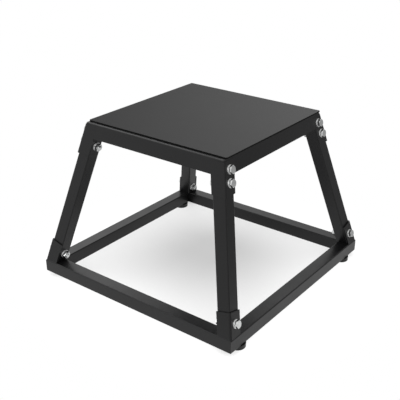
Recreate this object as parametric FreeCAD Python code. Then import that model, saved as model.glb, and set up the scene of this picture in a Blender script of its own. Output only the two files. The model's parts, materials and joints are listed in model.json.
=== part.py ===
import FreeCAD, Part
import math
import os

from FreeCAD import Placement, Rotation, Vector

# Steel plyo box: a square base ring, four leaning legs and a flat deck with a rubber mat.
# Millimetres. X runs along the front from left to right, Y from front to back, Z up from the floor.

# Overall sizes
overall_height = 311.8
base_width = 440.0
top_width = 305.0

# Square tube of the base ring and the legs
tube_width = 25.0
tube_wall = 1.5
tube_corner_radius = 2.0
tube_inside_radius_share = 0.5

# Rubber mat, cut to the deck's width and glued a little towards the back
mat_thickness = 2.5
mat_front_inset = 7.5
mat_back_overhang = 2.5
mat_corner_radius = 3.0
mat_edge_radius = 0.5

# Steel deck and the sloped flat rails welded under its edges
deck_thickness = 3.0
deck_edge_radius = 1.5
rail_thickness = 2.5
rail_depth = 26.0

# Angle brackets, welded to the deck above and to the base below, that the legs are bolted into
bracket_thickness = 2.5
bracket_bend_radius = 1.0
bracket_set_in = 1.0
upper_bracket_depth = 57.0
upper_bolt_share = 0.48
lower_bracket_height = 44.5
lower_bolt_share = 0.48

# Legs
leg_top_clearance = 0.5

# Hex bolts, nuts and flat washers
bolt_diameter = 7.9
bolt_hole_clearance = 0.6
bolt_end_chamfer = 0.9
bolt_stand_out = 2.5
head_flats = 13.0
head_height = 5.3
nut_flats = 13.0
nut_height = 6.8
nut_thread_clearance = 0.2
hex_chamfer_share = 0.95
hex_chamfer_angle = 30.0
washer_diameter = 16.0
washer_thickness = 1.6
washer_spacing = 5.8

# Rubber feet and the screws that hold them
foot_diameter = 30.0
foot_taper = 0.3
foot_height = 8.5
foot_end_distance = 36.5
foot_edge_radius = 1.0
foot_recess_diameter = 12.0
foot_recess_depth = 4.7
screw_diameter = 4.8
screw_hole_clearance = 0.2
screw_head_diameter = 9.5
screw_head_height = 2.8
screw_head_edge_radius = 0.9
screw_stand_in = 5.0
screw_slot_width = 1.4
screw_slot_share = 0.6
screw_slot_depth = 1.3

# How far cutting shapes run past what they cut
overrun = 5.0

# An edge is upright if it climbs the first share of its piece's height, and level if under the second
upright_share = 0.9
level_share = 0.01

# Heights and the lean of the sides, worked out from the sizes above
base_bottom = foot_height
base_top = base_bottom + tube_width
deck_top = overall_height - mat_thickness
deck_bottom = deck_top - deck_thickness
base_half = base_width / 2
tube_half = tube_width / 2
side_foot = base_half - bracket_set_in
slope = (side_foot - top_width / 2) / (deck_top - base_top)
leaf_out = tube_half + bracket_thickness

# The back right leg's own frame: it leans to the middle alike on X and Y, its outer faces square to it
leg_axis = Vector(-slope, -slope, 1).normalize()
lean_diagonal = Vector(1, 1, 2 * slope).normalize()
level_diagonal = Vector(1, -1, 0).normalize()
face_x = (lean_diagonal + level_diagonal).normalize()
face_y = (lean_diagonal - level_diagonal).normalize()

# Pieces are made for the back right corner, and the other corners mirror it
corner_names = ("front_left", "front_right", "back_left", "back_right")


def side_at(height):
    """Distance of the sloped outer side from the middle at a height."""
    return side_foot - slope * (height - base_top)


def leg_centre():
    """Distance of the leg's axis from the middle at the base's top: its bracket lies in the sloped side."""
    reach_of_leaf = leaf_out * (face_x.x + slope * face_x.z)
    reach_of_edge = tube_half * (face_y.x + slope * face_y.z)
    return side_foot - reach_of_leaf + reach_of_edge


leg_frame = Placement(
    Vector(leg_centre(), leg_centre(), base_top),
    Rotation(face_x, face_y, leg_axis, "XYZ"),
)


def along_leg(height, out_x, out_y):
    """Distance along the leg at which a point, that far out of the axis, is at a height."""
    return (height - base_top - out_x * face_x.z - out_y * face_y.z) / leg_axis.z


def in_leg_frame(shape):
    placed = shape.copy()
    placed.Placement = leg_frame.multiply(placed.Placement)
    return placed


def mirrored(shape, corner):
    """Copy of a back right piece at another corner."""
    if corner.endswith("left"):
        shape = shape.mirror(Vector(0, 0, 0), Vector(1, 0, 0))
    if corner.startswith("front"):
        shape = shape.mirror(Vector(0, 0, 0), Vector(0, 1, 0))
    return shape


# Plain shapes that several pieces share

def block(x0, x1, y0, y1, z0, z1):
    return Part.makeBox(x1 - x0, y1 - y0, z1 - z0, Vector(x0, y0, z0))


def layer(z0, z1):
    """Everything between two heights."""
    return block(-base_width, base_width, -base_width, base_width, z0, z1)


def upright_edges(shape):
    tall = shape.BoundBox.ZLength * upright_share
    return [edge for edge in shape.Edges if edge.BoundBox.ZLength > tall]


def edges_at(shape, height):
    """Edges that lie level at a height."""
    flat = shape.BoundBox.ZLength * level_share
    return [edge for edge in shape.Edges
            if edge.BoundBox.ZLength < flat and abs(edge.BoundBox.ZMin - height) < flat]


def square_bar(width, corner_radius, z0, z1):
    half = width / 2
    bar = block(-half, half, -half, half, z0, z1)
    return bar.makeFillet(corner_radius, upright_edges(bar))


def square_tube(z0, z1):
    inside_radius = tube_corner_radius * tube_inside_radius_share
    outside = square_bar(tube_width, tube_corner_radius, z0, z1)
    inside = square_bar(tube_width - 2 * tube_wall, inside_radius, z0 - overrun, z1 + overrun)
    return outside.cut(inside)


def angle_section():
    """Outline of a bracket across the leg: two leaves on its outer faces and a rounded bend between."""
    bend_centre = tube_half - bracket_bend_radius
    bend_middle = math.sqrt(0.5)
    outer_bend = bend_centre + (bracket_bend_radius + bracket_thickness) * bend_middle
    inner_bend = bend_centre + bracket_bend_radius * bend_middle
    outer_start = Vector(leaf_out, bend_centre, 0)
    outer_end = Vector(bend_centre, leaf_out, 0)
    inner_start = Vector(bend_centre, tube_half, 0)
    inner_end = Vector(tube_half, bend_centre, 0)
    x_leaf_outer = Vector(leaf_out, -tube_half, 0)
    x_leaf_inner = Vector(tube_half, -tube_half, 0)
    y_leaf_outer = Vector(-tube_half, leaf_out, 0)
    y_leaf_inner = Vector(-tube_half, tube_half, 0)
    edges = [
        Part.LineSegment(x_leaf_outer, outer_start),
        Part.Arc(outer_start, Vector(outer_bend, outer_bend, 0), outer_end),
        Part.LineSegment(outer_end, y_leaf_outer),
        Part.LineSegment(y_leaf_outer, y_leaf_inner),
        Part.LineSegment(y_leaf_inner, inner_start),
        Part.Arc(inner_start, Vector(inner_bend, inner_bend, 0), inner_end),
        Part.LineSegment(inner_end, x_leaf_inner),
        Part.LineSegment(x_leaf_inner, x_leaf_outer),
    ]
    return Part.Face(Part.Wire([edge.toShape() for edge in edges]))


def angle_length(z0, z1):
    section = angle_section()
    section.translate(Vector(0, 0, z0))
    return section.extrude(Vector(0, 0, z1 - z0))


# Places of the bolts along the leg

def upper_bolt_places():
    """The two bolts sit evenly about one height on the upper bracket, their washers clear of each other."""
    middle = along_leg(deck_top - upper_bracket_depth * upper_bolt_share, leaf_out, 0)
    half_pitch = (washer_diameter + washer_spacing) / 2
    return [middle + half_pitch, middle - half_pitch]


def lower_bolt_places():
    height = base_top + lower_bracket_height * lower_bolt_share
    return [along_leg(height, leaf_out, 0)]


def bolt_holes(places):
    radius = (bolt_diameter + bolt_hole_clearance) / 2
    start = -tube_half - overrun
    length = leaf_out + overrun - start
    return [Part.makeCylinder(radius, length, Vector(start, 0, place), Vector(1, 0, 0)) for place in places]


def drilled(shape, places):
    for hole in bolt_holes(places):
        shape = shape.cut(in_leg_frame(hole))
    return shape


# Legs and their brackets

def leg():
    reach = along_leg(overall_height, leaf_out, leaf_out)
    tube = in_leg_frame(square_tube(-tube_width, reach + tube_width))
    tube = tube.common(layer(base_top, deck_bottom - leg_top_clearance))
    return drilled(tube, upper_bolt_places() + lower_bolt_places())


def upper_bracket():
    """Both its ends are level."""
    reach = along_leg(overall_height, leaf_out, leaf_out)
    angle = in_leg_frame(angle_length(0, reach + tube_width))
    angle = angle.common(layer(deck_top - upper_bracket_depth, deck_bottom))
    return drilled(angle, upper_bolt_places())


def lower_bracket():
    """Its foot is level on the base, its free end is cut square to the leg."""
    end = along_leg(base_top + lower_bracket_height, leaf_out, leaf_out)
    angle = in_leg_frame(angle_length(-tube_width, end))
    angle = angle.common(layer(base_top, overall_height))
    return drilled(angle, lower_bolt_places())


# Fasteners, made on the Z axis with the face that bears on the washer at zero

def hexagon(flats, height):
    corner = flats / math.sqrt(3)
    angles = [math.radians(60 * i) for i in range(7)]
    points = [Vector(corner * math.cos(angle), corner * math.sin(angle), 0) for angle in angles]
    return Part.Face(Part.makePolygon(points)).extrude(Vector(0, 0, height))


def crowned(shape, flats, height):
    """Turns the corners of a hexagon down at its free end."""
    corner = flats / math.sqrt(3)
    crown = flats / 2 * hex_chamfer_share
    drop = (corner - crown) * math.tan(math.radians(hex_chamfer_angle))
    points = [Vector(0, 0, 0), Vector(corner, 0, 0), Vector(corner, 0, height - drop),
              Vector(crown, 0, height), Vector(0, 0, height), Vector(0, 0, 0)]
    envelope = Part.Face(Part.makePolygon(points)).revolve(Vector(0, 0, 0), Vector(0, 0, 1), 360)
    return shape.common(envelope)


def bolt():
    grip = 2 * washer_thickness + bracket_thickness + tube_width
    length = grip + nut_height + bolt_stand_out
    radius = bolt_diameter / 2
    head = crowned(hexagon(head_flats, head_height), head_flats, head_height)
    shank = Part.makeCylinder(radius, length - bolt_end_chamfer, Vector(0, 0, 0), Vector(0, 0, -1))
    tip = Part.makeCone(radius, radius - bolt_end_chamfer, bolt_end_chamfer,
                        Vector(0, 0, bolt_end_chamfer - length), Vector(0, 0, -1))
    return head.fuse([shank, tip]).removeSplitter()


def washer():
    hole = Part.makeCylinder((bolt_diameter + bolt_hole_clearance) / 2, washer_thickness)
    return Part.makeCylinder(washer_diameter / 2, washer_thickness).cut(hole)


def nut():
    body = crowned(hexagon(nut_flats, nut_height), nut_flats, nut_height)
    return body.cut(Part.makeCylinder((bolt_diameter + nut_thread_clearance) / 2, nut_height))


def seated(shape, out_x, place, direction):
    """Stands a fastener on the leg at a distance from its axis, pointing out (1) or in (-1)."""
    placed = shape.copy()
    placed.Placement = Placement(Vector(out_x, 0, place), Rotation(Vector(0, 0, 1), Vector(direction, 0, 0)))
    return in_leg_frame(placed)


def at_bolts(shape, places, out_x, direction):
    return Part.Compound([seated(shape, out_x, place, direction) for place in places])


def fasteners(places):
    """Name and shape of each kind of fastener on one leg."""
    return {
        "bolts": at_bolts(bolt(), places, leaf_out + washer_thickness, 1),
        "bolt_washers": at_bolts(washer(), places, leaf_out, 1),
        "nut_washers": at_bolts(washer(), places, -tube_half, -1),
        "nuts": at_bolts(nut(), places, -tube_half - washer_thickness, -1),
    }


# Top

def rounded_sheet(bottom_halves, top_halves, z0, z1, corner_radius, edge_radius):
    """Sheet with rounded corners and a softened upper edge, from half its width and depth at each face."""
    outlines = []
    for (half_x, half_y), height in ((bottom_halves, z0), (top_halves, z1)):
        corners = [(-1, -1), (1, -1), (1, 1), (-1, 1), (-1, -1)]
        outlines.append(Part.makePolygon([Vector(half_x * x, half_y * y, height) for x, y in corners]))
    sheet = Part.makeLoft(outlines, True, True)
    sheet = sheet.makeFillet(corner_radius, upright_edges(sheet))
    return sheet.makeFillet(edge_radius, edges_at(sheet, z1))


def top_mat():
    """As wide as the deck, set back from its front edge and past its back one."""
    half_depth = (top_width - mat_front_inset + mat_back_overhang) / 2
    halves = (top_width / 2, half_depth)
    mat = rounded_sheet(halves, halves, deck_top, overall_height, mat_corner_radius, mat_edge_radius)
    mat.translate(Vector(0, (mat_front_inset + mat_back_overhang) / 2, 0))
    return mat


def deck_plate():
    """Its edges follow the slope of the sides and its corners the bend of the brackets."""
    bottom_half = side_at(deck_bottom)
    top_half = side_at(deck_top)
    corner_radius = bracket_bend_radius + bracket_thickness
    return rounded_sheet((bottom_half, bottom_half), (top_half, top_half), deck_bottom, deck_top,
                         corner_radius, deck_edge_radius)


def right_rail():
    """Sloped flat bar, flush with the brackets, that fills the side between them."""
    tilt = math.sqrt(1 + slope * slope)
    bottom = deck_top - rail_depth
    inward = Vector(-rail_thickness / tilt, 0, -rail_thickness * slope / tilt)
    outer_top = Vector(side_at(deck_bottom), 0, deck_bottom)
    outer_bottom = Vector(side_at(bottom), 0, bottom)
    inner_bottom = outer_bottom + inward
    inner_top = outer_top - Vector(rail_thickness * tilt, 0, 0)
    section = Part.Face(Part.makePolygon([outer_top, outer_bottom, inner_bottom, inner_top, outer_top]))
    section.translate(Vector(0, -base_half, 0))
    bar = section.extrude(Vector(0, base_width, 0))
    beyond_leaf = block(-base_width, base_width, -tube_half, base_width, -base_width, base_width)
    past_bracket = in_leg_frame(beyond_leaf)
    bar = bar.cut(past_bracket)
    return bar.cut(mirrored(past_bracket, "front_right"))


# Base

def base_rail(turn):
    """Square tube of the front side, mitred at both ends, turned about the middle to its own side."""
    rail = square_tube(-base_half - overrun, base_half + overrun)
    rail.rotate(Vector(0, 0, 0), Vector(0, 1, 0), 90)
    rail.translate(Vector(0, tube_half - base_half, base_bottom + tube_half))
    inner = base_half - tube_width
    corners = [(-base_half, -base_half), (base_half, -base_half), (inner, -inner), (-inner, -inner),
               (-base_half, -base_half)]
    plan = Part.Face(Part.makePolygon([Vector(x, y, base_bottom) for x, y in corners]))
    rail = rail.common(plan.extrude(Vector(0, 0, tube_width)))
    rail.rotate(Vector(0, 0, 0), Vector(0, 0, 1), turn)
    return rail


def foot_place():
    """Place of the back right foot, in the middle of the right base rail."""
    return Vector(base_half - tube_half, base_half - foot_end_distance, 0)


def screw_hole():
    radius = (screw_diameter + screw_hole_clearance) / 2
    return Part.makeCylinder(radius, base_bottom + tube_wall + overrun, foot_place())


def side_base_rail(turn):
    """Base rail with the holes for its two feet."""
    rail = base_rail(turn)
    for corner in corner_names:
        rail = rail.cut(mirrored(screw_hole(), corner))
    return rail


def foot():
    top_radius = foot_diameter / 2
    puck = Part.makeCone(top_radius - foot_taper, top_radius, foot_height)
    puck = puck.makeFillet(foot_edge_radius, edges_at(puck, 0))
    puck = puck.cut(Part.makeCylinder(foot_recess_diameter / 2, foot_recess_depth))
    puck.translate(foot_place())
    return puck.cut(screw_hole())


def foot_screw():
    """Pan head screw, driven up through the foot's recess into the base rail."""
    head = Part.makeCylinder(screw_head_diameter / 2, screw_head_height)
    head = head.makeFillet(screw_head_edge_radius, edges_at(head, 0))
    slot_half = screw_head_diameter * screw_slot_share / 2
    across = screw_slot_width / 2
    head = head.cut(block(-slot_half, slot_half, -across, across, -overrun, screw_slot_depth))
    head = head.cut(block(-across, across, -slot_half, slot_half, -overrun, screw_slot_depth))
    head.translate(Vector(0, 0, foot_recess_depth - screw_head_height))
    length = base_bottom - foot_recess_depth + tube_wall + screw_stand_in
    shank = Part.makeCylinder(screw_diameter / 2, length, Vector(0, 0, foot_recess_depth))
    screw = head.fuse(shank)
    screw.translate(foot_place())
    return screw


# Export

def export(name, shape):
    shape.exportStep("parts/" + name + ".step")


def export_corners(name, shape):
    """One piece at each corner, each in a file of its own."""
    for corner in corner_names:
        export(name + "_" + corner, mirrored(shape, corner))


def export_group(name, shape):
    """Like pieces at all four corners, in one file."""
    solids = [solid for corner in corner_names for solid in mirrored(shape, corner).Solids]
    export(name, Part.Compound(solids))


def main():
    os.makedirs("parts", exist_ok=True)
    export("top_mat", top_mat())
    export("deck_plate", deck_plate())
    rail = right_rail()
    turned_rail = rail.mirror(Vector(0, 0, 0), Vector(1, -1, 0))
    export("top_rail_right", rail)
    export("top_rail_left", mirrored(rail, "back_left"))
    export("top_rail_back", turned_rail)
    export("top_rail_front", mirrored(turned_rail, "front_right"))
    export_corners("upper_bracket", upper_bracket())
    export_corners("leg", leg())
    export_corners("lower_bracket", lower_bracket())
    export("base_rail_front", base_rail(0))
    export("base_rail_right", side_base_rail(90))
    export("base_rail_back", base_rail(180))
    export("base_rail_left", side_base_rail(270))
    export_corners("foot", foot())
    export_group("foot_screws", foot_screw())
    for level, places in (("upper", upper_bolt_places()), ("lower", lower_bolt_places())):
        for kind, shape in fasteners(places).items():
            export_group(level + "_" + kind, shape)


main()
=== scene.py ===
import bpy
import bmesh
import json
import math
import random
from mathutils import Matrix, Vector


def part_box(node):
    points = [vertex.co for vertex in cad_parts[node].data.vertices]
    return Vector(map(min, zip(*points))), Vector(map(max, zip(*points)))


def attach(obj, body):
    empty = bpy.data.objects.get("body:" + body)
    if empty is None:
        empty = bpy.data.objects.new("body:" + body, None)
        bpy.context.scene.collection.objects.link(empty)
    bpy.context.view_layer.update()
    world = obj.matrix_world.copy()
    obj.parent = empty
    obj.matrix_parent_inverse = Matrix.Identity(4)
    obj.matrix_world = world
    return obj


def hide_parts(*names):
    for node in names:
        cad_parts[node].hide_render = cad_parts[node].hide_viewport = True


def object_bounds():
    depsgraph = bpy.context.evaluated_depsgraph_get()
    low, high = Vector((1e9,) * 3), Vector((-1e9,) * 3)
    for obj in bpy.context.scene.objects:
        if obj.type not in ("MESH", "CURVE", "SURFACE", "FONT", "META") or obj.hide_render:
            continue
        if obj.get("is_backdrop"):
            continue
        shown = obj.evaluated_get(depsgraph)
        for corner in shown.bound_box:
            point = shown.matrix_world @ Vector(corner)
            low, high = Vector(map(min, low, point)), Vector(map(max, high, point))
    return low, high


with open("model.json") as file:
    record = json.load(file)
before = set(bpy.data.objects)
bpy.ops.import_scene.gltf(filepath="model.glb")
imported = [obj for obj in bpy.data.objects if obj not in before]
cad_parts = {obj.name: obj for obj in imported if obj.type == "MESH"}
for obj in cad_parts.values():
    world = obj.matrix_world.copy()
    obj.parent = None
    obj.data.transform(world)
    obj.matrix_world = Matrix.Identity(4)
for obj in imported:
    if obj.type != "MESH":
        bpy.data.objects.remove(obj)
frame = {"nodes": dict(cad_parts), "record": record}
cadLow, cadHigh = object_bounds()
nodes = frame["nodes"]
mm = 0.001
weldGap = 0.001 * mm                   # points closer than this are one
sortPoint = (11 * mm, 17 * mm, 23 * mm)  # off all axes, so that no two points lie equally far from it
corners = ("front_left", "front_right", "back_left", "back_right")
print("frame loaded:", len(nodes), "CAD nodes")


# tools of the bench

def deselect():
    if bpy.context.mode != "OBJECT":
        bpy.ops.object.mode_set(mode="OBJECT")
    bpy.ops.object.select_all(action="DESELECT")


def only(piece):                       # one object selected and active, in object mode
    deselect()
    piece.select_set(True)
    bpy.context.view_layer.objects.active = piece


def pick(piece, kind, test):           # edit mode, with only what passes the test selected
    only(piece)
    bpy.ops.object.mode_set(mode="EDIT")
    bpy.ops.mesh.select_mode(type=kind)
    bpy.ops.mesh.select_all(action="DESELECT")
    mesh = bmesh.from_edit_mesh(piece.data)
    for element in {"VERT": mesh.verts, "EDGE": mesh.edges, "FACE": mesh.faces}[kind]:
        if test(element):
            element.select_set(True)
    bmesh.update_edit_mesh(piece.data)


def applyModifier(piece, kind, settings):
    only(piece)
    modifier = piece.modifiers.new(kind.lower(), kind)
    for key, value in settings.items():
        setattr(modifier, key, value)
    bpy.ops.object.modifier_apply(modifier=modifier.name)


def drawOutline(name, points):         # a vertex at the first (radius, height) point, extruded to the others
    deselect()
    bpy.ops.mesh.primitive_plane_add(size=mm)
    piece = bpy.context.active_object
    piece.name = name
    bpy.ops.object.mode_set(mode="EDIT")
    bpy.ops.mesh.select_mode(type="VERT")
    bpy.ops.mesh.select_all(action="SELECT")
    bpy.ops.mesh.merge(type="CENTER")
    bpy.ops.transform.translate(value=(points[0][0], 0, points[0][1]))
    for (r0, z0), (r1, z1) in zip(points, points[1:]):
        bpy.ops.mesh.extrude_region_move(TRANSFORM_OT_translate={"value": (r1 - r0, 0, z1 - z0)})
    bpy.ops.object.mode_set(mode="OBJECT")
    return piece


def closeUp(piece):                    # merges doubles, turns all faces outwards, gives all a fixed order
    only(piece)
    bpy.ops.object.mode_set(mode="EDIT")
    bpy.ops.mesh.select_all(action="SELECT")
    bpy.ops.mesh.remove_doubles(threshold=weldGap)
    bpy.ops.mesh.normals_make_consistent(inside=False)
    cursor = bpy.context.scene.cursor  # spin leaves faces in chance order, which can break the booleans
    cursor.location = sortPoint
    bpy.ops.mesh.sort_elements(type="CURSOR_DISTANCE", elements={"VERT", "EDGE", "FACE"})
    cursor.location = (0, 0, 0)
    bpy.ops.object.mode_set(mode="OBJECT")


def turned(name, points, steps):       # spins an outline about Z, as on a lathe
    piece = drawOutline(name, points)
    bpy.ops.object.mode_set(mode="EDIT")
    bpy.ops.mesh.select_all(action="SELECT")
    bpy.ops.mesh.spin(steps=steps, angle=2 * math.pi, center=(0, 0, 0), axis=(0, 0, 1))
    closeUp(piece)
    return piece


def combine(piece, tool, operation):   # boolean with a second object, which is used up
    applyModifier(piece, "BOOLEAN", {"operation": operation, "solver": "EXACT", "object": tool})
    bpy.data.objects.remove(tool)


def smooth(piece, degrees):            # edges sharper than this stay sharp
    only(piece)
    bpy.ops.object.shade_smooth_by_angle(angle=math.radians(degrees))


def finishPiece(piece, material, slotName, *replaced):
    piece.data.materials.clear()
    piece.data.materials.append(material)
    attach(piece, "root")
    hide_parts(*replaced)


def placeCopy(master, name, matrix):   # own mesh, with its place applied to it
    copy = master.copy()
    copy.data = master.data.copy()
    copy.name = name
    bpy.context.collection.objects.link(copy)
    copy.matrix_world = matrix
    only(copy)
    bpy.ops.object.transform_apply(location=True, rotation=True, scale=True)
    return copy


def solidsOf(nodeName):                # the corner points of each separate solid in a CAD node
    copy = nodes[nodeName].copy()
    copy.data = copy.data.copy()
    bpy.context.collection.objects.link(copy)
    only(copy)
    bpy.ops.object.mode_set(mode="EDIT")
    bpy.ops.mesh.select_all(action="SELECT")
    bpy.ops.mesh.remove_doubles(threshold=weldGap)
    bpy.ops.mesh.separate(type="LOOSE")
    bpy.ops.object.mode_set(mode="OBJECT")
    parts = list(bpy.context.selected_objects)
    solids = [[vertex.co.copy() for vertex in part.data.vertices] for part in parts]
    for part in parts:
        bpy.data.objects.remove(part)
    return solids


def middle(points):
    return sum(points, Vector()) / len(points)


# materials

noiseSpan = (0.3, 0.7)                 # most of a noise lies between these


def hexColour(code):                   # sRGB hex to linear
    parts = [int(code[i:i + 2], 16) / 255 for i in (1, 3, 5)]
    return [p / 12.92 if p <= 0.04045 else ((p + 0.055) / 1.055) ** 2.4 for p in parts] + [1.0]


def perMm(size):                       # texture scale for a pattern of that many millimetres
    return 1000 / size


def tones(colours, span=noiseSpan):    # ramp stops from the one colour to the other
    return [(place, hexColour(colour)) for place, colour in zip(span, colours)]


def spread(levels, span=noiseSpan):    # range settings from the one level to the other
    return {"From Min": span[0], "From Max": span[1], "To Min": levels[0], "To Max": levels[1]}


def addNode(tree, kind, settings=None, links=None):
    node = tree.nodes.new(kind)
    for key, value in (settings or {}).items():
        if key == "stops":             # places and colours of a ramp
            ramp = node.color_ramp.elements
            while len(ramp) < len(value):
                ramp.new(1)
            for stop, (place, colour) in zip(ramp, value):
                stop.position = place
                stop.color = colour
        elif isinstance(key, int) or key in node.inputs:
            node.inputs[key].default_value = value
        else:
            setattr(node, key, value)
    for key, source in (links or {}).items():
        tree.links.new(source, node.inputs[key])
    return node


def feed(tree, shader, sources):       # joins a node to each named socket of the shader
    for socket, node in sources.items():
        tree.links.new(node.outputs[0], shader.inputs[socket])


def emptyMaterial(name):               # its tree, Object coordinates and shader
    material = bpy.data.materials.new(name)
    material.use_nodes = True
    tree = material.node_tree
    tree.nodes.clear()
    place = addNode(tree, "ShaderNodeTexCoord").outputs["Object"]
    shader = addNode(tree, "ShaderNodeBsdfPrincipled")
    addNode(tree, "ShaderNodeOutputMaterial", links={"Surface": shader.outputs[0]})
    return material, tree, place, shader


powderCoat = {
    "colours": ("#0c0c0d", "#111112"),
    "colourSpan": (0.35, 0.65),
    "roughness": (0.30, 0.38),
    "specular": 0.375,
    "peelSize": 2.4,                   # real orange peel is near 1 mm, drawn coarser so that it shows
    "peelDepth": 0.05 * mm,
    "grainSize": 0.9,
    "patchSize": 60,
}


def powderCoatedSteel():
    # satin black polyester powder baked on steel: near black, soft broad reflections, a faint orange peel
    material, tree, place, shader = emptyMaterial("satinBlackPowderCoat")
    shader.inputs["Specular IOR Level"].default_value = powderCoat["specular"]
    patch = addNode(tree, "ShaderNodeTexNoise", {"Scale": perMm(powderCoat["patchSize"]), "Detail": 2},
                    {"Vector": place})
    peel = addNode(tree, "ShaderNodeTexNoise", {"Scale": perMm(powderCoat["peelSize"]), "Detail": 1},
                   {"Vector": place})
    grain = addNode(tree, "ShaderNodeTexNoise", {"Scale": perMm(powderCoat["grainSize"]), "Detail": 2},
                    {"Vector": place})
    tone = addNode(tree, "ShaderNodeValToRGB",
                   {"stops": tones(powderCoat["colours"], powderCoat["colourSpan"])},
                   {"Fac": grain.outputs["Fac"]})
    gloss = addNode(tree, "ShaderNodeMapRange", spread(powderCoat["roughness"]),
                    {"Value": patch.outputs["Fac"]})
    bump = addNode(tree, "ShaderNodeBump", {"Strength": 1.0, "Distance": powderCoat["peelDepth"]},
                   {"Height": peel.outputs["Fac"]})
    feed(tree, shader, {"Base Color": tone, "Roughness": gloss, "Normal": bump})
    return material


brightZinc = {                         # bolts and nuts, forged: pale grey, faintly cloudy, clear highlights
    "colours": ("#d6d8d8", "#eaebea"),
    "roughness": (0.13, 0.22),
    "grainSize": 0.7,
    "patchSize": 4,
    "scratchDepth": 0.004 * mm,
}
dullZinc = {                           # washers, barrel tumbled: the same metal with a broad even sheen
    "colours": ("#dcdddd", "#eeeeed"),
    "roughness": (0.42, 0.52),
    "grainSize": 0.6,
    "patchSize": 5,
    "scratchDepth": 0.006 * mm,
}


def zincPlatedSteel(name, zincPlate):
    # zinc with a clear passivate: pale, slightly cloudy, with a fine grain in its shine
    material, tree, place, shader = emptyMaterial(name)
    shader.inputs["Metallic"].default_value = 1.0
    cloud = addNode(tree, "ShaderNodeTexNoise", {"Scale": perMm(zincPlate["patchSize"]), "Detail": 3},
                    {"Vector": place})
    grain = addNode(tree, "ShaderNodeTexNoise", {"Scale": perMm(zincPlate["grainSize"]), "Detail": 2},
                    {"Vector": place})
    tone = addNode(tree, "ShaderNodeValToRGB", {"stops": tones(zincPlate["colours"])},
                   {"Fac": cloud.outputs["Fac"]})
    gloss = addNode(tree, "ShaderNodeMapRange", spread(zincPlate["roughness"]),
                    {"Value": grain.outputs["Fac"]})
    bump = addNode(tree, "ShaderNodeBump", {"Strength": 1.0, "Distance": zincPlate["scratchDepth"]},
                   {"Height": grain.outputs["Fac"]})
    feed(tree, shader, {"Base Color": tone, "Roughness": gloss, "Normal": bump})
    return material


matRubber = {
    "colours": ("#0d0d0d", "#131313"),
    "roughness": (0.77, 0.38),         # front left corner, and back right, which is rubbed smoother
    "wearWay": (1.0, 0.35, 0),         # from the one to the other
    "wearReach": (-0.21, 0.21),        # and how far along it they lie
    "patchRoughness": 0.05,
    "patchSize": 45,
    "pebbleSize": 2.2,                 # real grain is near 0.8 mm, drawn coarser so that it shows
    "pebbleDepth": 0.03 * mm,
    "pebbleStrength": 0.6,
}


def calenderedRubber():
    # black rubber sheet rolled between grained rollers: matt, dark grey where it catches light at a low angle
    material, tree, place, shader = emptyMaterial("calenderedBlackRubber")
    patch = addNode(tree, "ShaderNodeTexNoise", {"Scale": perMm(matRubber["patchSize"]), "Detail": 3},
                    {"Vector": place})
    pebble = addNode(tree, "ShaderNodeTexVoronoi", {"Scale": perMm(matRubber["pebbleSize"]),
                                                    "feature": "SMOOTH_F1"}, {"Vector": place})
    tone = addNode(tree, "ShaderNodeValToRGB", {"stops": tones(matRubber["colours"])},
                   {"Fac": patch.outputs["Fac"]})
    across = addNode(tree, "ShaderNodeVectorMath", {"operation": "DOT_PRODUCT", 1: matRubber["wearWay"]},
                     {0: place})
    wear = addNode(tree, "ShaderNodeMapRange", spread(matRubber["roughness"], matRubber["wearReach"]),
                   {"Value": across.outputs["Value"]})
    gloss = addNode(tree, "ShaderNodeMath", {"operation": "MULTIPLY_ADD", 1: matRubber["patchRoughness"]},
                    {0: patch.outputs["Fac"], 2: wear.outputs[0]})
    bump = addNode(tree, "ShaderNodeBump", {"Strength": matRubber["pebbleStrength"], "invert": True,
                                            "Distance": matRubber["pebbleDepth"]},
                   {"Height": pebble.outputs["Distance"]})
    feed(tree, shader, {"Base Color": tone, "Roughness": gloss, "Normal": bump})
    return material


cutRubber = {
    # darker than the sheet's face: partly the cut rubber's own colour, partly painted shade along the mat's
    # edge
    "colours": ("#070707", "#0f0f0f"),
    "roughness": 0.85,
    "specular": 0.2,
    "tearSize": 0.6,
    "tearDepth": 0.05 * mm,
    "tearStrength": 0.7,
}


def dieCutRubber():
    # the cut edge of the sheet: dry and dull, with a torn grain; its darker colour is partly the cut rubber's
    # own and partly painted shade along the mat's edge
    material, tree, place, shader = emptyMaterial("dieCutRubberPaintedShade")
    shader.inputs["Specular IOR Level"].default_value = cutRubber["specular"]
    shader.inputs["Roughness"].default_value = cutRubber["roughness"]
    tear = addNode(tree, "ShaderNodeTexNoise", {"Scale": perMm(cutRubber["tearSize"]), "Detail": 3},
                   {"Vector": place})
    tone = addNode(tree, "ShaderNodeValToRGB", {"stops": tones(cutRubber["colours"])},
                   {"Fac": tear.outputs["Fac"]})
    bump = addNode(tree, "ShaderNodeBump", {"Strength": cutRubber["tearStrength"],
                                            "Distance": cutRubber["tearDepth"]},
                   {"Height": tear.outputs["Fac"]})
    feed(tree, shader, {"Base Color": tone, "Normal": bump})
    return material


footRubber = {
    "colours": ("#080808", "#0d0d0d"),
    "roughness": (0.36, 0.46),
    "specular": 0.375,
    "flowSize": 6,
    "flowTwist": 0.8,
    "flowDepth": 0.02 * mm,
    "flowStrength": 0.5,
}


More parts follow.
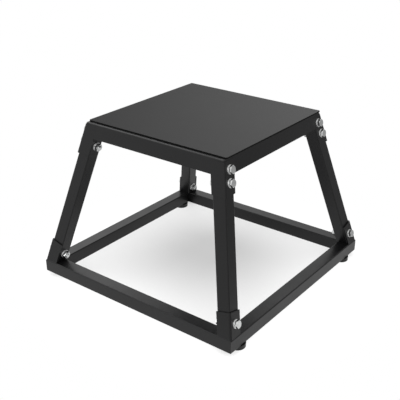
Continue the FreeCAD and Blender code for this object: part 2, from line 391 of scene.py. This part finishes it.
def mouldedRubber():
    # moulded black rubber: deep black with a dull shine and faint flow marks
    material, tree, place, shader = emptyMaterial("mouldedBlackRubber")
    shader.inputs["Specular IOR Level"].default_value = footRubber["specular"]
    flow = addNode(tree, "ShaderNodeTexNoise", {"Scale": perMm(footRubber["flowSize"]), "Detail": 3,
                                                "Distortion": footRubber["flowTwist"]}, {"Vector": place})
    tone = addNode(tree, "ShaderNodeValToRGB", {"stops": tones(footRubber["colours"])},
                   {"Fac": flow.outputs["Fac"]})
    gloss = addNode(tree, "ShaderNodeMapRange", spread(footRubber["roughness"]),
                    {"Value": flow.outputs["Fac"]})
    bump = addNode(tree, "ShaderNodeBump", {"Strength": footRubber["flowStrength"],
                                            "Distance": footRubber["flowDepth"]},
                   {"Height": flow.outputs["Fac"]})
    feed(tree, shader, {"Base Color": tone, "Roughness": gloss, "Normal": bump})
    return material


coat = powderCoatedSteel()
zinc = zincPlatedSteel("brightZincPlatedSteel", brightZinc)
washerZinc = zincPlatedSteel("barrelZincPlatedSteel", dullZinc)
sheetRubber = calenderedRubber()
edgeRubberPaintedShade = dieCutRubber()
bumperRubber = mouldedRubber()
nodeFinishes = {"black_powder_coated_steel": coat, "zinc_plated_steel": zinc}
for subpart in frame["record"]["subparts"]:
    if subpart["material_slot"] in nodeFinishes:
        finishes = nodes[subpart["node"]].data.materials
        finishes.clear()
        finishes.append(nodeFinishes[subpart["material_slot"]])
print("materials made")


# rubber mat, die cut, its upper rim pressed round

mat = {
    "cornerRadius": 3.0 * mm,
    "cornerSteps": 8,
    "rimRadius": 0.5 * mm,
    "rimSteps": 4,
    "undersideRadius": 0.2 * mm,
    "undersideSteps": 2,
    "smoothAngle": 40,
    "edgeSlope": 0.75,                 # faces steeper than this are the cut edge
}


def rubberMat():
    low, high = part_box("top_mat")
    deselect()
    bpy.ops.mesh.primitive_cube_add(size=1, location=(low + high) / 2)
    piece = bpy.context.active_object
    piece.name = "rubber_mat"
    piece.scale = high - low
    bpy.ops.object.transform_apply(location=True, rotation=True, scale=True)
    half = (high.z - low.z) / 2
    pick(piece, "EDGE", lambda edge: abs(edge.verts[0].co.z - edge.verts[1].co.z) > half)
    bpy.ops.mesh.bevel(offset=mat["cornerRadius"], segments=mat["cornerSteps"])
    pick(piece, "EDGE", lambda edge: min(v.co.z for v in edge.verts) > high.z - half)
    bpy.ops.mesh.bevel(offset=mat["rimRadius"], segments=mat["rimSteps"])
    pick(piece, "EDGE", lambda edge: max(v.co.z for v in edge.verts) < low.z + half / 4)
    bpy.ops.mesh.bevel(offset=mat["undersideRadius"], segments=mat["undersideSteps"])
    deselect()
    smooth(piece, mat["smoothAngle"])
    finishPiece(piece, sheetRubber, "mat_rubber", "top_mat")
    # the cut edge gets the darker rubber, partly painted shade along the mat's edge
    piece.data.materials.append(edgeRubberPaintedShade)
    pick(piece, "FACE", lambda face: abs(face.normal.z) < mat["edgeSlope"])
    piece.active_material_index = 1
    bpy.ops.object.material_slot_assign()
    deselect()


rubberMat()
print("mat made")


# rubber feet

foot = {
    "steps": 72,
    "taper": 0.3 * mm,
    "rimRadius": 0.9 * mm,
    "rimStep": 15,                     # degrees
    "lipHeight": 1.2 * mm,
    "lipDepth": 0.2 * mm,
    "recessRadius": 6.0 * mm,
    "recessDepth": 4.7 * mm,
    "holeRadius": 2.5 * mm,
    "edgeRadius": 0.25 * mm,
    "edgeSteps": 2,
    "edgeAngle": 50,                   # edges sharper than this are rounded
    "smoothAngle": 40,
}


def footOutline(radius, height):       # closed section: along the top, down the side, in along the sole, up
    lip = height - foot["lipHeight"]
    sole = radius - foot["taper"]
    rim = foot["rimRadius"]
    arc = [(sole - rim + rim * math.cos(math.radians(a)), rim - rim * math.sin(math.radians(a)))
           for a in range(0, 91, foot["rimStep"])]
    points = [(foot["holeRadius"], height), (radius, height), (radius, lip), (radius - foot["lipDepth"], lip)]
    points += arc
    points += [(foot["recessRadius"], 0), (foot["recessRadius"], foot["recessDepth"]),
               (foot["holeRadius"], foot["recessDepth"]), (foot["holeRadius"], height)]
    return points


def rubberFeet():
    low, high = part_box("foot_front_left")
    master = turned("footMaster", footOutline((high.x - low.x) / 2, high.z), foot["steps"])
    applyModifier(master, "BEVEL", {"width": foot["edgeRadius"], "segments": foot["edgeSteps"],
                                    "limit_method": "ANGLE", "angle_limit": math.radians(foot["edgeAngle"])})
    closeUp(master)
    smooth(master, foot["smoothAngle"])
    for corner in corners:
        low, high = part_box("foot_" + corner)
        centre = (low + high) / 2
        piece = placeCopy(master, "rubber_foot_" + corner, Matrix.Translation((centre.x, centre.y, 0)))
        finishPiece(piece, bumperRubber, "foot_rubber", "foot_" + corner)
    bpy.data.objects.remove(master)


rubberFeet()
print("feet made")


# hex bolts, nuts and washers

fastener = {
    "flats": 13.0 * mm,
    "crownShare": 0.95,
    "crownAngle": 30,
    "pitch": 1.25 * mm,
    "threadDepth": 0.68 * mm,
    "threadTurns": 10,
    "threadSteps": 32,
    "threadShares": (0.42, 0.54, 0.96),  # of the pitch: start and end of the crest, start of the root
    "turnsBelow": 2,                   # wound past the bolt's end
    "turnsCut": 1.6,                   # cut off there before the end is turned
    "turnsAbove": 0.5,                 # cut off at the upper end
    "endChamfer": 0.9 * mm,
    "boreClearance": 0.1 * mm,
    "boreChamfer": 0.5 * mm,
    "washerRim": 0.3 * mm,
    "rimShare": 0.3,                   # of that rim, cut off at its middle
    "slack": 0.01 * mm,                # how far turned blanks clear what they cut
    "overrun": 1.0 * mm,               # how far shapes run past the end of what they cut or join
    "coreGap": 0.1 * mm,               # the shank's core inside the thread's root
    "neck": 0.2 * mm,                  # between thread and shank
    "steps": 64,
    "hexSmooth": 30,
    "washerSmooth": 50,
    "turnSeed": 9,
    "headTurn": 30,                    # bolt heads stand up to this many degrees from a flat to the front
}


def crownOutline(height, both):        # section of the turned blank that a hexagon is cut from
    corner = fastener["flats"] / math.sqrt(3) + fastener["slack"]
    crown = fastener["flats"] / 2 * fastener["crownShare"]
    drop = (corner - crown) * math.tan(math.radians(fastener["crownAngle"]))
    lower = [(0, 0), (crown, 0), (corner, drop)] if both else [(0, 0), (corner, 0)]
    return lower + [(corner, height - drop), (crown, height), (0, height)]


def hexagon(name, height, both):       # a hexagon bar with its corners turned down
    deselect()
    bpy.ops.mesh.primitive_cylinder_add(vertices=6, radius=fastener["flats"] / math.sqrt(3),
                                        depth=height + 2 * fastener["overrun"], location=(0, 0, height / 2))
    piece = bpy.context.active_object
    piece.name = name
    bpy.ops.object.transform_apply(location=True, rotation=True, scale=True)
    combine(piece, turned("crown", crownOutline(height, both), fastener["steps"]), "INTERSECT")
    return piece


def threadedEnd(radius, bottom):       # right-hand screw thread that runs past bottom, cut flat at both ends
    pitch = fastener["pitch"]
    turns = fastener["threadTurns"]
    root = radius - fastener["threadDepth"]
    start = bottom - pitch * fastener["turnsBelow"]
    crestStart, crestEnd, rootStart = fastener["threadShares"]
    section = [(root, start), (radius, start + pitch * crestStart), (radius, start + pitch * crestEnd),
               (root, start + pitch * rootStart), (root, start + pitch)]
    piece = drawOutline("thread", section)
    steps = fastener["threadSteps"]
    applyModifier(piece, "SCREW", {"axis": "Z", "angle": 2 * math.pi, "screw_offset": pitch,
                                   "iterations": turns, "steps": steps, "render_steps": steps})
    closeUp(piece)                     # joins each turn to the next
    low = start + pitch * fastener["turnsCut"]
    top = start + pitch * (turns - fastener["turnsAbove"])
    for height, above in ((low, False), (top, True)):
        pick(piece, "FACE", lambda face: True)
        bpy.ops.mesh.bisect(plane_co=(0, 0, height), plane_no=(0, 0, 1), use_fill=True,
                            threshold=weldGap, clear_inner=not above, clear_outer=above)
    closeUp(piece)
    return piece, top


def hexBolt(headHeight, tip, radius):  # bearing face at zero, head up, thread at the lower end
    piece = hexagon("boltMaster", headHeight, False)
    thread, top = threadedEnd(radius, -tip)
    chamfer = fastener["endChamfer"]
    slack = fastener["slack"]
    overrun = fastener["overrun"]
    blank = [(0, -tip), (radius - chamfer, -tip), (radius + slack, slack + chamfer - tip),
             (radius + slack, top + overrun), (0, top + overrun)]
    combine(thread, turned("blank", blank, fastener["steps"]), "INTERSECT")
    core = radius - fastener["threadDepth"] - fastener["coreGap"]
    neck = top + fastener["neck"]
    plain = [(0, top - overrun), (core, top - overrun), (core, neck), (radius, neck + radius - core),
             (radius, headHeight / 2), (0, headHeight / 2)]
    shank = turned("shank", plain, fastener["steps"])
    combine(shank, thread, "UNION")
    combine(piece, shank, "UNION")
    closeUp(piece)
    smooth(piece, fastener["hexSmooth"])
    return piece


def hexNut(height, radius):            # bearing face at zero
    piece = hexagon("nutMaster", height, True)
    bore = radius + fastener["boreClearance"]
    wide = bore + fastener["boreChamfer"]
    deep = fastener["boreChamfer"]
    overrun = fastener["overrun"]
    tool = [(0, -overrun), (wide + overrun, -overrun), (bore, deep), (bore, height - deep),
            (wide + overrun, height + overrun), (0, height + overrun)]
    combine(piece, turned("bore", tool, fastener["steps"]), "DIFFERENCE")
    closeUp(piece)
    smooth(piece, fastener["hexSmooth"])
    return piece


def flatWasher(outer, inner, thick):   # stamped: round at the upper edges, sharp at the lower
    rim = fastener["washerRim"]
    cut = rim * fastener["rimShare"]
    section = [(inner, -thick / 2), (outer, -thick / 2), (outer, thick / 2 - rim),
               (outer - cut, thick / 2 - cut), (outer - rim, thick / 2),
               (inner + rim, thick / 2), (inner, thick / 2 - rim), (inner, -thick / 2)]
    piece = turned("washerMaster", section, fastener["steps"])
    smooth(piece, fastener["washerSmooth"])
    return piece


def along(points, place, axis):        # least and most that points lie along an axis
    lengths = [(point - place).dot(axis) for point in points]
    return min(lengths), max(lengths)


def around(points, place, axis):       # least and most that they lie out from it
    widths = [((point - place) - axis * (point - place).dot(axis)).length for point in points]
    return min(widths), max(widths)


def nearest(solids, place):
    return min(solids, key=lambda points: (middle(points) - place).length)


def placeOrder(points):                # to a tenth of a millimetre
    return tuple(round(v, 4) for v in middle(points))


def fasteners():
    turns = random.Random(fastener["turnSeed"])
    groups = ("bolts", "bolt_washers", "nut_washers", "nuts")
    masters = None
    for level in ("upper", "lower"):
        solids = {group: solidsOf(level + "_" + group) for group in groups}
        headWashers = sorted(solids["bolt_washers"], key=placeOrder)
        for number, washer in enumerate(headWashers, 1):
            head = middle(washer)
            near = {group: nearest(solids[group], head) for group in groups}
            end = middle(near["nut_washers"])
            axis = (head - end).normalized()
            low, high = along(washer, head, axis)
            if masters is None:        # sizes come from the CAD solids of the first bolt
                inner, outer = around(washer, head, axis)
                tip, top = along(near["bolts"], head + axis * high, axis)
                nutLow, nutHigh = along(near["nuts"], end, axis)
                shank = around(near["nuts"], end, axis)[0] - fastener["boreClearance"]
                masters = {
                    "bolt": hexBolt(top, -tip, shank),
                    "nut": hexNut(nutHigh - nutLow, shank),
                    "washer": flatWasher(outer, inner, high - low),
                }
            outward = axis.to_track_quat("Z", "Y").to_matrix().to_4x4()
            inward = (-axis).to_track_quat("Z", "Y").to_matrix().to_4x4()
            spots = (
                ("bolt", "bolts", head + axis * high, outward),
                ("washer", "bolt_washers", head, outward),
                ("washer", "nut_washers", end, inward),
                ("nut", "nuts", end - axis * high, inward),
            )
            for kind, group, place, facing in spots:
                most = math.radians(fastener["headTurn"]) if kind == "bolt" else math.pi
                turn = Matrix.Rotation(turns.uniform(-most, most), 4, "Z")
                name = level + "_" + group.rstrip("s") + "_" + str(number)
                piece = placeCopy(masters[kind], name, Matrix.Translation(place) @ facing @ turn)
                plating = washerZinc if kind == "washer" else zinc
                finishPiece(piece, plating, "zinc_plated_steel", level + "_" + group)
    for master in masters.values():
        bpy.data.objects.remove(master)


fasteners()
print("fasteners made")


# studio: a pale round table in a soft pale room

studio = {
    "tableRadius": 0.39,
    "tableSides": 160,
    "tableDrop": 0.05 * mm,            # below the soles
    "tableFade": (0.30, 0.38),         # between these radii the table fades to plain white
    "tableGrey": "#4d4d4d",            # dull, so that only the lamp throws a shadow that shows
    "tableLift": 0.535,                # brings the lit table to white for the eye, the shadow stays
    "glossyShare": 0.60,               # how far reflections see the table plain
    "paintedShadowLevels": (0.50, 0.99),      # and how bright: a painted shadow in reflections, darker under the deck, brighter further out
    # radii over which that painted shadow rises from the one level to the other
    "paintedShadowReach": (0.05, 0.19),
    "lampPlace": Vector((0.57, -1.15, 8.0)),
    "lampSize": 6.6,
    "lampPower": 5250,
    "lampCasters": ("deck", "leg"),    # the base lies too low to throw more than a line along its rails
    "roomLevels": (                    # height of a way into the room, from -1 to 1, and the light from there
        (-0.05, 0.66), (0.10, 0.63), (0.28, 0.86), (0.38, 1.30), (0.45, 1.66), (0.52, 2.00),
        (0.68, 1.33), (1.0, 0.80)),
    "roomSide": (0.62, 1.12),          # share of it from the right and back, and from the left and front
    "brightWay": (-0.707, -0.707, 0),
    "screens": (                       # soft round patches: way, share of light kept there, sharpness
        ((0.55, 0.70, 0.45), 0.45, 8),
        ((-0.35, 0.80, 0.48), 0.78, 14),
        ((-0.80, 0.38, 0.47), 1.28, 12),
    ),
}


def studioTable():
    deselect()
    bpy.ops.mesh.primitive_circle_add(vertices=studio["tableSides"], radius=studio["tableRadius"],
                                      fill_type="NGON", location=(0, 0, -studio["tableDrop"]))
    table = bpy.context.active_object
    table.name = "studio_table"
    table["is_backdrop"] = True
    material = bpy.data.materials.new("paleTable")
    material.use_nodes = True
    material.cycles.emission_sampling = "NONE"
    tree = material.node_tree
    tree.nodes.clear()
    rays = addNode(tree, "ShaderNodeLightPath").outputs
    place = addNode(tree, "ShaderNodeTexCoord").outputs["Object"]
    reach = addNode(tree, "ShaderNodeVectorMath", {"operation": "LENGTH"}, {0: place})
    rim = addNode(tree, "ShaderNodeMapRange", spread((0, 1), studio["tableFade"]),
                  {"Value": reach.outputs["Value"]})
    rim.interpolation_type = "SMOOTHSTEP"
    seen = addNode(tree, "ShaderNodeMath", {"operation": "MAXIMUM"},
                   {0: rays["Is Camera Ray"], 1: rays["Is Transmission Ray"]})
    lift = addNode(tree, "ShaderNodeMath", {"operation": "MULTIPLY", 1: studio["tableLift"]},
                   {0: seen.outputs[0]})
    matt = addNode(tree, "ShaderNodeBsdfDiffuse", {"Color": hexColour(studio["tableGrey"])})
    glow = addNode(tree, "ShaderNodeEmission", links={"Strength": lift.outputs[0]})
    lit = addNode(tree, "ShaderNodeAddShader", links={0: matt.outputs[0], 1: glow.outputs[0]})
    # painted shadow: the table's glow seen in reflections is darker under the deck
    paintedShadow = addNode(tree, "ShaderNodeMapRange", spread(studio["paintedShadowLevels"], studio["paintedShadowReach"]),
                       {"Value": reach.outputs["Value"]})
    level = addNode(tree, "ShaderNodeMapRange", {"To Min": 1.0},
                    {"Value": rays["Is Glossy Ray"], "To Max": paintedShadow.outputs[0]})
    plain = addNode(tree, "ShaderNodeEmission", links={"Strength": level.outputs[0]})
    edge = addNode(tree, "ShaderNodeMath", {"operation": "MULTIPLY"}, {0: rim.outputs[0], 1: seen.outputs[0]})
    fade = addNode(tree, "ShaderNodeMath", {"operation": "MULTIPLY_ADD", 1: studio["glossyShare"]},
                   {0: rays["Is Glossy Ray"], 2: edge.outputs[0]})
    blend = addNode(tree, "ShaderNodeMixShader", links={0: fade.outputs[0], 1: lit.outputs[0],
                                                        2: plain.outputs[0]})
    addNode(tree, "ShaderNodeOutputMaterial", links={"Surface": blend.outputs[0]})
    table.data.materials.append(material)
    return table


def studioRoom():
    world = bpy.data.worlds.new("softRoom")
    bpy.context.scene.world = world
    world.use_nodes = True
    tree = world.node_tree
    tree.nodes.clear()
    rays = addNode(tree, "ShaderNodeLightPath").outputs
    way = addNode(tree, "ShaderNodeTexCoord").outputs["Generated"]
    parts = addNode(tree, "ShaderNodeSeparateXYZ", links={0: way})
    rise = addNode(tree, "ShaderNodeMapRange", spread((0, 1), (-1, 1)), {"Value": parts.outputs["Z"]})
    levels = [((height + 1) / 2, (grey, grey, grey, 1)) for height, grey in studio["roomLevels"]]
    level = addNode(tree, "ShaderNodeValToRGB", {"stops": levels}, {"Fac": rise.outputs[0]})
    side = addNode(tree, "ShaderNodeVectorMath", {"operation": "DOT_PRODUCT", 1: studio["brightWay"]},
                   {0: way})
    sideShare = addNode(tree, "ShaderNodeMapRange", spread(studio["roomSide"], (-1, 1)),
                        {"Value": side.outputs["Value"]})
    light = addNode(tree, "ShaderNodeMath", {"operation": "MULTIPLY"},
                    {0: level.outputs[0], 1: sideShare.outputs[0]})
    for centre, kept, sharpness in studio["screens"]:
        facing = addNode(tree, "ShaderNodeVectorMath", {"operation": "DOT_PRODUCT", 1: centre}, {0: way})
        front = addNode(tree, "ShaderNodeMath", {"operation": "MAXIMUM", 1: 0}, {0: facing.outputs["Value"]})
        screen = addNode(tree, "ShaderNodeMath", {"operation": "POWER", 1: sharpness}, {0: front.outputs[0]})
        screenShare = addNode(tree, "ShaderNodeMath", {"operation": "MULTIPLY_ADD", 1: kept - 1.0, 2: 1.0},
                              {0: screen.outputs[0]})
        light = addNode(tree, "ShaderNodeMath", {"operation": "MULTIPLY"},
                        {0: light.outputs[0], 1: screenShare.outputs[0]})
    room = addNode(tree, "ShaderNodeBackground", {"Color": (1, 1, 1, 1)}, {"Strength": light.outputs[0]})
    white = addNode(tree, "ShaderNodeBackground", {"Color": (1, 1, 1, 1), "Strength": 1.0})
    seen = addNode(tree, "ShaderNodeMath", {"operation": "MAXIMUM"},
                   {0: rays["Is Camera Ray"], 1: rays["Is Transmission Ray"]})
    blend = addNode(tree, "ShaderNodeMixShader", links={0: seen.outputs[0], 1: room.outputs[0],
                                                        2: white.outputs[0]})
    addNode(tree, "ShaderNodeOutputWorld", links={"Surface": blend.outputs[0]})


def shadowLamp(table):                 # lights the table alone, for the soft shadow under the box
    deselect()
    place = studio["lampPlace"]
    bpy.ops.object.light_add(type="AREA", location=place,
                             rotation=place.to_track_quat("Z", "Y").to_euler())
    lamp = bpy.context.active_object
    lamp.name = "overhead_softbox"
    lamp.data.shape = "DISK"
    lamp.data.size = studio["lampSize"]
    lamp.data.energy = studio["lampPower"]
    lit = bpy.data.collections.new("litByLamp")
    lit.objects.link(table)
    lamp.light_linking.receiver_collection = lit
    casters = bpy.data.collections.new("shadedFromLamp")
    for name, node in nodes.items():
        if name.startswith(studio["lampCasters"]):
            casters.objects.link(node)
    lamp.light_linking.blocker_collection = casters


shadowLamp(studioTable())
studioRoom()
bpy.context.scene.view_settings.view_transform = "Standard"
print("studio set")


# camera, as the photograph was taken

shot = {
    "azimuth": 37.50,
    "elevation": 25.10,
    "distance": 1.3972,
    "aim": Vector((-0.0030, -0.0113, 0.1447)),
    "lens": 65.56,
    "sensor": 36,
    "nearest": 0.05,                   # nothing closer than this is drawn
}


def photoCamera():
    turn = math.radians(shot["azimuth"])
    rise = math.radians(shot["elevation"])
    back = Vector((math.sin(turn) * math.cos(rise), -math.cos(turn) * math.cos(rise), math.sin(rise)))
    deselect()
    bpy.ops.object.camera_add(location=shot["aim"] + back * shot["distance"],
                              rotation=(math.pi / 2 - rise, 0, turn))
    camera = bpy.context.active_object
    camera.data.sensor_width = shot["sensor"]
    camera.data.lens = shot["lens"]
    camera.data.clip_start = shot["nearest"]
    bpy.context.scene.camera = camera


photoCamera()
print("camera set")

visualLow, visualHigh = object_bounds()
cadSize = [round(v, 4) for v in cadHigh - cadLow]
visualSize = [round(v, 4) for v in visualHigh - visualLow]
print("size", visualSize, "against", cadSize)
